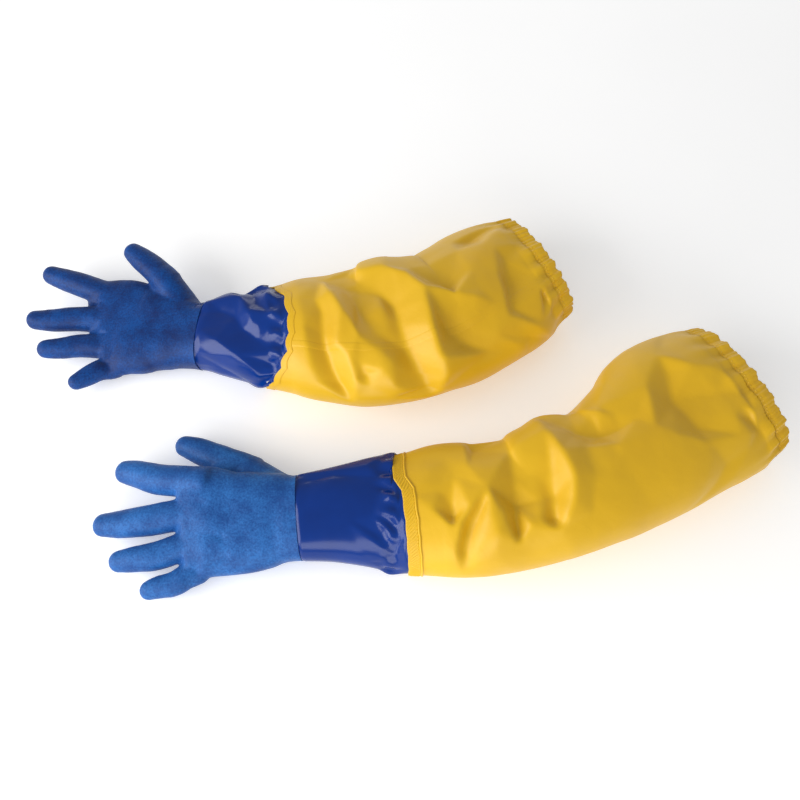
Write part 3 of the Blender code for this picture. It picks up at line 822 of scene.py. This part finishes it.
# From just inside the hand's coat to inside the cuff: x, y and z of the middle, width and height.
GAUNTLET = {
    "left": [
        (-95.6, -140.8, 25.6, 82, 48),
        (-89.6, -140.8, 26, 82, 48),
        (-61.6, -138.8, 28, 87, 54),
        (-35.6, -137.8, 30, 95, 58),
        (-7.6, -137.8, 32, 106, 63),
        (15.4, -138.8, 33.5, 114.8, 67.8),
        (29.3, -137.7, 35, 114.8, 67.8),
    ],
    "right": [
        (-217.4, 69.6, 24.6, 74, 47),
        (-211.6, 68.2, 25, 74, 47),
        (-193.6, 66.2, 27, 78, 52),
        (-175.6, 64.2, 30, 90, 56),
        (-151.6, 62.2, 33, 104, 63),
        (-126.6, 60.7, 34.5, 116.8, 69.8),
        (-109.1, 60.2, 36.5, 125.8, 73.8),
        (-91.6, 59.7, 38.4, 134.8, 77.8),
        (-81.9, 58.7, 39.3, 134.8, 77.8),
    ],
}
GAUNTLET_FOLDS = {
    "left": [
        [(9, 15, 0), (27, 42, -3.5), (48, 40, -2.5), (64, 36, 0), (79, 36, 1)],
        [(90, 32, -1), (93, 15, 3.5), (102, 16, 2)],
        [(90, 55, -3), (93, 69, -3), (103, 73, -1)],
        [(21, 92, 0.5), (60, 99, 0.5), (85, 98, 0)],
        [(102, 81, 2.5), (107, 83, 1)],
        [(102, 92, 2.5), (107, 94, 1)],
        [(103, 102, -2.5)],
        [(103, 112, 3.2), (109, 113, 1)],
        [(103, 124, -2.5)],
        [(102, 136, 2.2), (107, 137, 0.5)],
        [(100, 151, -1.5)],
        [(10, 156, 0), (48, 160, 0.5), (81, 156, 0)],
    ],
    "right": [
        [
            (9, 27, 1), (24, 41, 2.5), (35, 31, 3.5), (45, 27, 4), (62, 53, 4), (72, 76, 4), (78, 89, 2),
            (87, 93, 1),
        ],
        [(27, 68, -1.5), (42, 68, -4.5), (60, 79, -5), (71, 95, -5), (87, 107, -4), (107, 114, -2)],
        [(48, 28, -2), (60, 28, -3), (69, 30, -4), (81, 66, -3)],
        [(77, 26, 2), (86, 25, 3)],
        [(90, 60, 2.5)],
        [(102, 81, 2.5)],
        [(101, 96, -1)],
        [(23, 94, 0.5), (44, 107, 3.5), (66, 126, 4.5), (84, 143, 4), (92, 162, 3), (92, 184, 1)],
        [(21, 138, -2), (36, 149, -4), (51, 162, -4), (68, 174, -2)],
        [(102, 121, -1), (113, 132, 2), (114, 139, 1)],
        [(99, 133, -3), (107, 150, -3)],
    ],
}
GAUNTLET_ROLL = {"left": 11.0, "right": 8.0}
GAUNTLET_STEP = 1.3
GAUNTLET_COLUMNS = 280
PVC_THICKNESS = 0.0014
RIM_PUCKERS = 15
RIM_PUCKER_HEIGHT = 2.0
GAUNTLET_WAVE = (0.35, 26.0)
GAUNTLET_SMOOTHING = 4
PALM_SQUARENESS = 2.6
LINING_INSET = 2.2
LINING_CLEARANCE = 2.2
INSIDE_CUFF = {"left": 14.0, "right": 45.0}
# The hand's coat ends this far along the gauntlet, which keeps in by this depth under it.
COAT_ENDS = {"left": 11.0, "right": 16.0}
COAT_DEPTH = 1.1
# Inside the cuff the gauntlet keeps this far under the sleeve's cloth.
CUFF_DEPTH = 1.3

smooth_pvc, pvc_place = new_material("blue_gloss_dipped_pvc")
pvc_tone = add(smooth_pvc, "TexNoise", {"Vector": pvc_place, "Scale": 22.0, "Detail": 3.0})
pvc_wave = add(smooth_pvc, "TexNoise", {"Vector": pvc_place, "Scale": 60.0, "Detail": 2.0})
pvc_bump = add(smooth_pvc, "Bump", {"Height": pvc_wave.outputs["Fac"], "Strength": 0.12, "Distance": 0.0010})
surface(
    smooth_pvc,
    Base_Color=mixed(smooth_pvc, pvc_tone.outputs["Fac"], "002568", "003488"),
    Roughness=0.2,
    IOR=1.45,
    Specular_IOR_Level=0.35,
    Normal=pvc_bump.outputs["Normal"],
)

# Brushed acrylic-wool knit: a warm off-white plush of loops about 1.5 mm apart.
knit, knit_place = new_material("cream_brushed_knit_lining")
knit_loops = add(knit, "TexVoronoi", {"Vector": knit_place, "Scale": 650.0})
knit_bump = add(knit, "Bump", {"Height": knit_loops.outputs["Distance"], "Strength": 0.7, "Distance": 0.0006})
knit_tone = add(knit, "TexNoise", {"Vector": knit_place, "Scale": 60.0, "Detail": 4.0})
surface(
    knit,
    Base_Color=mixed(knit, knit_tone.outputs["Fac"], "DCD5C2", "F1EDE2"),
    Roughness=0.95,
    Sheen_Weight=0.3,
    Normal=knit_bump.outputs["Normal"],
)

around = np.linspace(0, 2 * math.pi, GAUNTLET_COLUMNS, endpoint=False)
for side, seed in (("left", 2.0), ("right", 7.0)):
    distances, rows = run_through(GAUNTLET[side], GAUNTLET_STEP)
    square = np.interp(distances, (0, distances[-1] - 30), (PALM_SQUARENESS, 2.0))
    points, outwards = tube_grid(rows, around, GAUNTLET_ROLL[side], square)
    heights = folded(GAUNTLET_FOLDS[side], distances, np.degrees(around))
    heights = relaxed(heights, GAUNTLET_SMOOTHING)
    along_sleeve = distances - (distances[-1] - INSIDE_CUFF[side])
    past_edge = along_sleeve[:, None] - band_edge(side, around)[None, :]
    near_cuff = np.exp(-(((past_edge + 11) / 7.0) ** 2))
    bubbles = np.sin(RIM_PUCKERS * around + 1.4 * np.sin(3 * around + seed))[None, :]
    wave_height, wave_size = GAUNTLET_WAVE
    heights += RIM_PUCKER_HEIGHT * near_cuff * bubbles + wave_height * ripple(points, wave_size, seed)
    under_coat = np.clip((COAT_ENDS[side] + 3.5 - distances) / 4.0, 0, 1)[:, None]
    heights = heights * (1 - under_coat) - COAT_DEPTH * under_coat
    # Under the band it lies against the inside of the sleeve.
    tucked = np.clip((past_edge + 7) / 6.0, 0, 1)[:, :, None]
    tucked = tucked * tucked * (3 - 2 * tucked)
    level = np.ones(GAUNTLET_COLUMNS)
    covered = np.stack([on_sleeve(side, around, level * along, -CUFF_DEPTH) for along in along_sleeve])
    points = (points + outwards * heights[:, :, None]) * (1 - tucked) + covered * tucked
    outside = lay_on_bench(points)
    tube = grid_piece(f"{side}_gauntlet_pvc", outside, smooth_pvc)
    thicken(tube, PVC_THICKNESS)
    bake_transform(tube)
    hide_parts(f"{side}_gauntlet")
    inside = lay_on_bench((points - outwards * LINING_INSET)[::2, ::2], LINING_CLEARANCE)
    lining = grid_piece(f"{side}_gauntlet_lining", inside, knit)
    thicken(lining, PVC_THICKNESS)
    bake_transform(lining)
    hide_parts(f"{side}_gauntlet_liner")

# ---------------------------------------------------------------------------------------------------------
# Hand
# A knitted glove dipped in PVC and dusted while wet, which leaves a fine rough grain for grip. Palm and
# fingers are one skin; it is divided beyond each web, where a finger starts to bend.
# ---------------------------------------------------------------------------------------------------------

PALM = {
    "left": [
        (-89.6, -140.8, 26, 82, 48),
        (-105.6, -140.8, 25, 88, 45),
        (-127.6, -143.8, 25, 96, 41),
        (-150.6, -144.8, 24, 100, 39),
        (-172.6, -143.8, 24, 109, 37),
        (-192.6, -146.8, 23, 119, 34),
    ],
    "right": [
        (-211.6, 68.2, 25, 74, 47),
        (-227.6, 72.2, 24, 84, 44),
        (-249.6, 76.2, 23, 94, 41),
        (-271.6, 77.2, 22, 103, 38),
        (-291.6, 83.2, 20, 114, 36),
        (-312.6, 80.2, 19, 121, 34),
    ],
}
THUMB_BALL = {
    "left": [
        (-99.6, -116.8, 27, 36, 31),
        (-123.6, -101.8, 22, 37, 30),
        (-143.6, -85.8, 17, 33, 27),
    ],
    "right": [
        (-221.6, 96.2, 29, 35, 30),
        (-237.6, 117.2, 35, 34, 29),
        (-251.6, 135.2, 41, 32, 28),
    ],
}
FINGERS = {
    "left": {
        "thumb": [
            (-143.9, -85.6, 16.9, 32, 26),
            (-172.6, -73.8, 15.5, 30, 25),
            (-194.6, -63.8, 14, 27, 23),
            (-208.6, -58.8, 13.5, 22, 20),
        ],
        "index": [
            (-199.7, -104.7, 31.2, 31, 27),
            (-225.6, -100.8, 26, 31, 26),
            (-247.6, -93.8, 22, 28, 24),
            (-262.6, -89.8, 19, 24, 21),
        ],
        "middle": [
            (-194.7, -135.7, 25.1, 31, 28),
            (-227.6, -140.8, 21, 31, 27),
            (-255.6, -143.8, 18, 28, 24),
            (-276.6, -144.8, 16, 23, 20),
        ],
        "ring": [
            (-190.1, -164.8, 19.5, 28, 26),
            (-217.6, -174.8, 17, 28, 25),
            (-239.6, -177.8, 15, 25, 23),
            (-256.6, -179.8, 13, 21, 19),
        ],
        "little": [
            (-185.8, -191.5, 14.3, 24, 23),
            (-199.6, -200.8, 13, 24, 22),
            (-213.6, -203.8, 12, 22, 21),
            (-223.6, -206.8, 11.5, 19, 18),
        ],
    },
    "right": {
        "thumb": [
            (-251.8, 135.5, 41.1, 31, 26),
            (-265.6, 148.2, 43, 29, 25),
            (-278.6, 158.2, 45, 27, 23),
            (-288.6, 166.2, 46, 22, 20),
        ],
        "index": [
            (-319.6, 124.2, 25.2, 29, 26),
            (-345.6, 134.2, 27, 28, 25),
            (-365.6, 141.2, 27.5, 26, 23),
            (-383.6, 148.2, 28, 22, 20),
        ],
        "middle": [
            (-314.7, 91.9, 20.6, 30, 27),
            (-345.6, 92.2, 22, 28, 25),
            (-369.6, 89.2, 24, 26, 23),
            (-389.6, 88.2, 26, 22, 20),
        ],
        "ring": [
            (-309.9, 59.5, 16.1, 28, 26),
            (-335.6, 59.2, 19, 26, 24),
            (-355.6, 55.2, 20.5, 24, 22),
            (-372.6, 53.2, 22, 21, 19),
        ],
        "little": [
            (-306.1, 34.1, 12.5, 24, 23),
            (-313.6, 29.2, 16, 23, 21),
            (-325.6, 20.2, 17, 21, 20),
            (-333.6, 14.2, 18, 18, 17),
        ],
    },
}
# The web between two fingers, at its edge: x, y and z.
WEBS = {
    "left": [
        (-190.1, -122.6, 23, 11, 12, 10),
        (-168, -155.6, 17, 12, 12, 9),
        (-185.9, -184.2, 13, 11, 11, 9),
        (-154.8, -88.3, 22, 22, 8, 9),
        (-130, -93, 24, 20, 8, 10),
    ],
    "right": [
        (-327.7, 114.4, 20, 11, 12, 10),
        (-319.9, 76.3, 16, 11, 12, 10),
        (-305.5, 40.8, 13, 10, 10, 9),
        (-290.6, 31.3, 15, 16, 6, 8),
    ],
}
# Where a finger's own skin starts: a point, and the way towards the tip.
DIVISIONS = {
    "left": {
        "thumb": ((-180.5, -84.5, 18), (-0.437, 0.894, -0.099)),
        "index": ((-212.3, -102.8, 28.7), (-0.970, 0.145, -0.194)),
        "middle": ((-210.4, -138.2, 23.2), (-0.981, -0.152, -0.124)),
        "ring": ((-205.1, -170.3, 18.1), (-0.936, -0.341, -0.085)),
        "little": ((-190.8, -194.9, 13.8), (-0.825, -0.560, -0.079)),
    },
    "right": {
        "thumb": ((-277.2, 139.9, 36), (-0.258, 0.961, 0.099)),
        "index": ((-328.9, 127.8, 25.8), (-0.932, 0.357, 0.066)),
        "middle": ((-324.7, 92, 21.1), (-0.999, 0.010, 0.044)),
        "ring": ((-319.8, 59.4, 17.2), (-0.994, -0.014, 0.112)),
        "little": ((-312.3, 30, 15.4), (-0.780, -0.510, 0.363)),
    },
}
# Knuckles, hollows and creases: x, y, z, how far the mark reaches, and its height.
MARKS = {
    "left": [
        (-191.5, -126.6, 36, -173.6, -132.6, 40, 4, -1.2),
        (-172, -159, 33, -155.3, -163.5, 38, 4, -1.2),
        (-166.5, -186.8, 26, -150.5, -181.5, 34, 4, -1.2),
        (-183.7, -112.2, 40, 13, 1.3),
        (-171.4, -147.3, 42, 13, 1.5),
        (-175.1, -174.5, 36, 12, 1.3),
        (-167.1, -198.1, 26, 10, 1.2),
        (-161.1, -89.1, 30, 9, -0.8),
        (-232.6, -101.9, 30, 7, 0.5),
        (-233.2, -143.7, 26, 8, 0.6),
        (-221.4, -174.7, 24, 7, 0.6),
        (-192.4, -200.3, 20, 7, 0.6),
        (-242.9, -147, 24, -240.9, -153, 24, 2.2, -0.3),
        (-223.9, -147.7, 26, -222, -153.7, 26, 2.2, -0.3),
        (-238.8, -170.2, 22, -235.7, -183.7, 22, 2.2, -0.3),
        (-188, -165.5, 26, -182.5, -179.1, 26, 3.5, -0.6),
        (-177.6, -191.9, 24, -169.8, -202.2, 20, 4, -0.8),
        (-121, -177.7, 34, -140.3, -186.8, 26, 3, -0.7),
    ],
    "right": [
        (-330.7, 109.7, 30, -315.6, 105.7, 34, 2.2, -1.2),
        (-324.1, 70.9, 28, -309.4, 67.6, 32, 2.2, -1.2),
        (-309, 35.6, 24, -293.7, 32.4, 28, 2.2, -1.2),
        (-266.3, 118.9, 46, -250.4, 105.9, 50, 3.5, -1.6),
        (-249.2, 101.1, 52, -228.3, 76.5, 50, 5, -0.7),
        (-277.1, 133.2, 54, 14, 1.2),
        (-243.9, 117.4, 60, 18, 1.6),
        (-288.7, 84.6, 38, -242.4, 73.3, 42, 16, -1.6),
        (-294, 22.7, 22, 10, 1),
        (-202.7, 93.3, 46, -214.4, 93.8, 50, 4, -1.2),
        (-367.4, 116.9, 30, -370.7, 128.3, 30, 2.5, -0.4),
        (-352.8, 95.9, 28, -349.2, 82.6, 28, 2.5, -0.4),
        (-339.6, 53.7, 26, -336.3, 41.1, 26, 2.5, -0.4),
    ],
}
HAND_SIDES = 48
# The palm thins towards the webs: its last places' heights, as shares.
THINNED = (0.95, 0.8)
# Palms, thumb balls and fingers are tubes, closed by a dome: its rings' angles from the tube's end.
DOME_ANGLES = (0.3, 0.6, 0.9, 1.15, 1.35, 1.48)
# How far each finger's tube reaches back into the hand.
FINGER_STARTS = {"thumb": 12.0, "index": 26.0, "middle": 26.0, "ring": 26.0, "little": 26.0}
COAT_VOXEL = 0.0013
LINING_VOXEL = 0.0024
RIM_DEPTH = 2.2
# Gentle waves in the skin: height and size.
SKIN_WAVES = ((0.35, 14.0), (0.12, 5.0))
SKIN_CLEARANCE = 0.15
# Faces this far behind a finger's cut are still looked at, so that the cut runs through them.
CUT_MARGIN = 4.0
FINGER_NAMES = ("thumb", "index", "middle", "ring", "little")

# Rough-grained PVC: a soft, matt skin with a close grain about 2 mm across, paler where it stands up. Both
# hands are the same PVC, in two copies with painted light and shade: the left hand's back is painted a
# paler blue as painted light, and the right hand's palm a darker blue as painted shade.
lit_and_shaded_pvcs = {}
# Painted light and shade: the left hand's pair of colours is painted paler, and the right hand's darker, than
# the one PVC.
for side, dark, light in (("left", "0E4386", "2869B1"), ("right", "00245F", "00458E")):
    rough_pvc, grain_place = new_material(f"blue_rough_grained_pvc_painted_lighting_{side}")
    fine = {"Vector": grain_place, "Scale": 520.0, "Detail": 3.0, "Roughness": 0.6}
    grain = add(rough_pvc, "TexNoise", fine)
    mottle = add(rough_pvc, "TexNoise", {"Vector": grain_place, "Scale": 45.0, "Detail": 4.0})
    both = {0: grain.outputs["Fac"], 1: mottle.outputs["Fac"]}
    tone = add(rough_pvc, "Math", both, operation="MULTIPLY")
    spread = add(rough_pvc, "MapRange", {"Value": tone.outputs["Value"], "From Min": 0.14, "From Max": 0.38})
    relief = {"Height": grain.outputs["Fac"], "Strength": 0.55, "Distance": 0.0007}
    grain_bump = add(rough_pvc, "Bump", relief)
    surface(
        rough_pvc,
        Base_Color=mixed(rough_pvc, spread.outputs["Result"], dark, light),
        Roughness=0.5,
        IOR=1.5,
        Specular_IOR_Level=0.25,
        Sheen_Weight=0.06,
        Sheen_Roughness=0.4,
        Normal=grain_bump.outputs["Normal"],
    )
    lit_and_shaded_pvcs[side] = rough_pvc


def add_tube(bm, rows, roll, squareness, grow, dome_start, dome_end):
    """A closed tube through these places, rounded off at either end where asked."""
    turns = np.linspace(0, 2 * math.pi, HAND_SIDES, endpoint=False)
    points, _ = tube_grid(rows, turns, roll, squareness, grow)
    ahead, _, _ = directions_along(rows[:, :3], roll)
    rings = list(points)
    for dome, end, sign in ((dome_start, 0, -1), (dome_end, -1, 1)):
        middle = rows[end, :3]
        depth = (rows[end, 4] / 2 + grow) * dome
        extra = []
        for angle in DOME_ANGLES:
            forward = sign * ahead[end] * depth * math.sin(angle)
            extra.append(middle + (points[end] - middle) * math.cos(angle) + forward)
        if dome:
            rings = extra[::-1] + rings if sign < 0 else rings + extra
    rings = [lay_on_bench(ring, max(0.0, -grow)) for ring in rings]
    vertices = [[bm.verts.new(Vector(point) * MM) for point in ring] for ring in rings]
    for first, second in zip(vertices, vertices[1:]):
        for k in range(HAND_SIDES):
            n = (k + 1) % HAND_SIDES
            bm.faces.new((first[k], first[n], second[n], second[k]))
    bm.faces.new(vertices[0][::-1])
    bm.faces.new(vertices[-1])


def finger_rows(side, finger, back):
    """Places along a finger, from inside the hand to the tip."""
    table = [list(row) for row in FINGERS[side][finger]]
    first, second = (np.array(row[:3]) for row in table[:2])
    step = (first - second) / np.linalg.norm(first - second) * back
    table.insert(0, [*(first + step), *table[0][3:]])
    return run_through(table, 2.5)[1]


def wrist_rows(side):
    """Places along the gauntlet that the coat reaches back over: just past its edge, and at its edge."""
    distances, rows = run_through(GAUNTLET[side], GAUNTLET_STEP)
    return [rows[np.searchsorted(distances, COAT_ENDS[side] + past)] for past in (5.0, 0.0)]


def hand_skin(side, name, grow, voxel, smoothing, material):
    """The whole hand as one smooth skin, shifted outwards by grow."""
    roll = GAUNTLET_ROLL[side]
    bm = bmesh.new()
    palm = np.array(PALM[side], float)
    palm[-len(THINNED) :, 4] *= THINNED
    add_tube(bm, run_through([*wrist_rows(side), *palm], 3.0)[1], roll, PALM_SQUARENESS, grow, 0, 0.6)
    add_tube(bm, run_through(THUMB_BALL[side], 3.0)[1], roll, 2.0, grow, 0.8, 0.9)
    for finger in FINGER_NAMES:
        add_tube(bm, finger_rows(side, finger, FINGER_STARTS[finger]), roll, 2.0, grow, 0.5, 1.0)
    for x, y, z, reach, wide, tall in WEBS[side]:
        made = bmesh.ops.create_icosphere(bm, subdivisions=3, radius=1.0)
        for vertex in made["verts"]:
            c = vertex.co
            place = (x + c.x * (reach + grow), y + c.y * (wide + grow), z + c.z * (tall + grow))
            vertex.co = Vector(place) * MM
    bmesh.ops.recalc_face_normals(bm, faces=bm.faces)
    mesh = bpy.data.meshes.new(name)
    bm.to_mesh(mesh)
    bm.free()
    whole = bpy.data.objects.new(name, mesh)
    bpy.context.scene.collection.objects.link(whole)
    mesh.materials.append(material)
    remesh = whole.modifiers.new("one_skin", "REMESH")
    remesh.mode = "VOXEL"
    remesh.voxel_size = voxel
    smooth = whole.modifiers.new("eased", "SMOOTH")
    smooth.factor = 0.5
    smooth.iterations = smoothing
    bpy.context.view_layer.objects.active = whole
    whole.select_set(True)
    for modifier in ("one_skin", "eased"):
        bpy.ops.object.modifier_apply(modifier=modifier)
    whole.select_set(False)
    return whole


def mark_skin(whole, marks, seed):
    """Raise the knuckles and press in the hollows and creases."""
    mesh = whole.data
    count = len(mesh.vertices)
    places, normals = np.empty(count * 3), np.empty(count * 3)
    mesh.vertices.foreach_get("co", places)
    mesh.vertex_normals.foreach_get("vector", normals)
    places, normals = places.reshape(-1, 3) / MM, normals.reshape(-1, 3)
    lift = sum(height * ripple(places, size, seed) for height, size in SKIN_WAVES)
    for *ends, reach, height in marks:
        start = np.array(ends[:3])
        stop = np.array(ends[3:6]) if len(ends) == 6 else start
        line = stop - start
        share = np.clip(((places - start) @ line) / max(line @ line, 1e-9), 0, 1)
        away = np.linalg.norm(places - start - share[:, None] * line, axis=1)
        lift += height * np.exp(-((away / reach) ** 2)) * (normals[:, 2] > -0.2)
    places = places + normals * lift[:, None]
    mesh.vertices.foreach_set("co", (lay_on_bench(places, SKIN_CLEARANCE) * MM).ravel())
    mesh.update()


def distance_to(rows, places):
    """How far each place is from a tube's surface, roughly."""
    best = np.full(len(places), 1e9)
    for k in range(len(rows) - 1):
        start, line = rows[k, :3], rows[k + 1, :3] - rows[k, :3]
        share = np.clip(((places - start) @ line) / (line @ line), 0, 1)
        away = np.linalg.norm(places - start - share[:, None] * line, axis=1) - rows[k, 3] / 2
        best = np.minimum(best, away)
    return best


def turn_in_rim(places, shades, polygons, wrist, forward):
    """Close the coat's thickness at the wrist: its edge is turned in towards the arm."""
    sides = {}
    for polygon in polygons:
        for pair in zip(polygon, polygon[1:] + polygon[:1]):
            sides[pair] = True
    at_wrist = {k for k, place in enumerate(places) if abs((place - wrist).dot(forward)) < 1e-5}
    rim = [(a, b) for a, b in sides if a in at_wrist and b in at_wrist and (b, a) not in sides]
    middle = sum((places[k] for k in at_wrist), Vector()) / len(at_wrist)
    # The rim twice over, facing the arm, and then its turned-in edge.
    facing = {k: len(places) + n for n, k in enumerate(sorted(at_wrist))}
    for k in sorted(at_wrist):
        places.append(places[k].copy())
        shades.append(tuple(-forward))
    inner = {k: len(places) + n for n, k in enumerate(sorted(at_wrist))}
    for k in sorted(at_wrist):
        places.append(places[k] + (middle - places[k]).normalized() * RIM_DEPTH * MM)
        shades.append(tuple(-forward))
    polygons += [[facing[b], facing[a], inner[a], inner[b]] for a, b in rim]


def divide(side, whole, suffix, lip):
    """Cut the skin into the palm and the five fingers. They keep the whole skin's shading at the cuts."""
    bm = bmesh.new()
    bm.from_mesh(whole.data)
    beyond, edge = (Vector(row[:3]) * MM for row in wrist_rows(side))
    wrist, forward = edge, (edge - beyond).normalized()
    axes = {finger: finger_rows(side, finger, 0.0) for finger in FINGER_NAMES}

    def nearest(faces):
        places = np.array([face.calc_center_median() for face in faces]) / MM
        return np.argmin([distance_to(axes[finger], places) for finger in FINGER_NAMES], axis=0), places

    everything = [*bm.verts, *bm.edges, *bm.faces]
    bmesh.ops.bisect_plane(bm, geom=everything, plane_co=wrist, plane_no=forward, clear_inner=True)
    for number, finger in enumerate(FINGER_NAMES):
        point, way = (np.array(v) for v in DIVISIONS[side][finger])
        faces = list(bm.faces)
        owner, places = nearest(faces)
        close = (owner == number) & ((places - point) @ way > -CUT_MARGIN)
        chosen = [face for face, use in zip(faces, close) if use]
        edges = {edge for face in chosen for edge in face.edges}
        vertices = {vertex for face in chosen for vertex in face.verts}
        bmesh.ops.bisect_plane(
            bm, geom=[*vertices, *edges, *chosen], plane_co=Vector(point) * MM, plane_no=Vector(way)
        )
    faces = list(bm.faces)
    owner, places = nearest(faces)
    bm.normal_update()
    mesh = whole.data
    bm.to_mesh(mesh)
    bm.free()
    normals = np.empty(len(mesh.vertices) * 3)
    mesh.vertex_normals.foreach_get("vector", normals)
    normals = normals.reshape(-1, 3)
    keeper = np.full(len(faces), -1)
    for number, finger in enumerate(FINGER_NAMES):
        point, way = (np.array(v) for v in DIVISIONS[side][finger])
        keeper[(owner == number) & ((places - point) @ way > 0)] = number
    pieces = {}
    for number, part in enumerate(("palm", *FINGER_NAMES), start=-1):
        keep = np.flatnonzero(keeper == number)
        loops = [tuple(mesh.polygons[k].vertices) for k in keep]
        used = sorted({v for loop in loops for v in loop})
        renumber = {old: new for new, old in enumerate(used)}
        places = [mesh.vertices[v].co.copy() for v in used]
        shades = [tuple(normals[v]) for v in used]
        polygons = [[renumber[v] for v in loop] for loop in loops]
        if part == "palm" and lip:
            turn_in_rim(places, shades, polygons, wrist, forward)
        made = bpy.data.meshes.new(f"{side}_{part}_{suffix}")
        made.from_pydata(places, [], polygons)
        made.shade_smooth()
        made.normals_split_custom_set_from_vertices(shades)
        made.materials.append(mesh.materials[0])
        pieces[part] = bpy.data.objects.new(made.name, made)
        bpy.context.scene.collection.objects.link(pieces[part])
    bpy.data.objects.remove(whole)
    return pieces


LAYERS = (
    ("coat", "skin", 0.0, COAT_VOXEL, 22, "rough_pvc"),
    ("liner", "lining", -LINING_INSET, LINING_VOXEL, 5, "knit_lining"),
)
for side, seed in (("left", 3.0), ("right", 9.0)):
    for node, suffix, grow, voxel, smoothing, slot in LAYERS:
        material = knit if node == "liner" else lit_and_shaded_pvcs[side]
        whole = hand_skin(side, f"{side}_{suffix}", grow, voxel, smoothing, material)
        mark_skin(whole, MARKS[side], seed)
        for part, piece in divide(side, whole, suffix, node == "coat").items():
            if part == "palm":
                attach(piece, f"{side}_hand")
            else:
                point, way = (Vector(v) for v in DIVISIONS[side][part])
                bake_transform(piece)
            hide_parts(f"{side}_{part}_{node}")
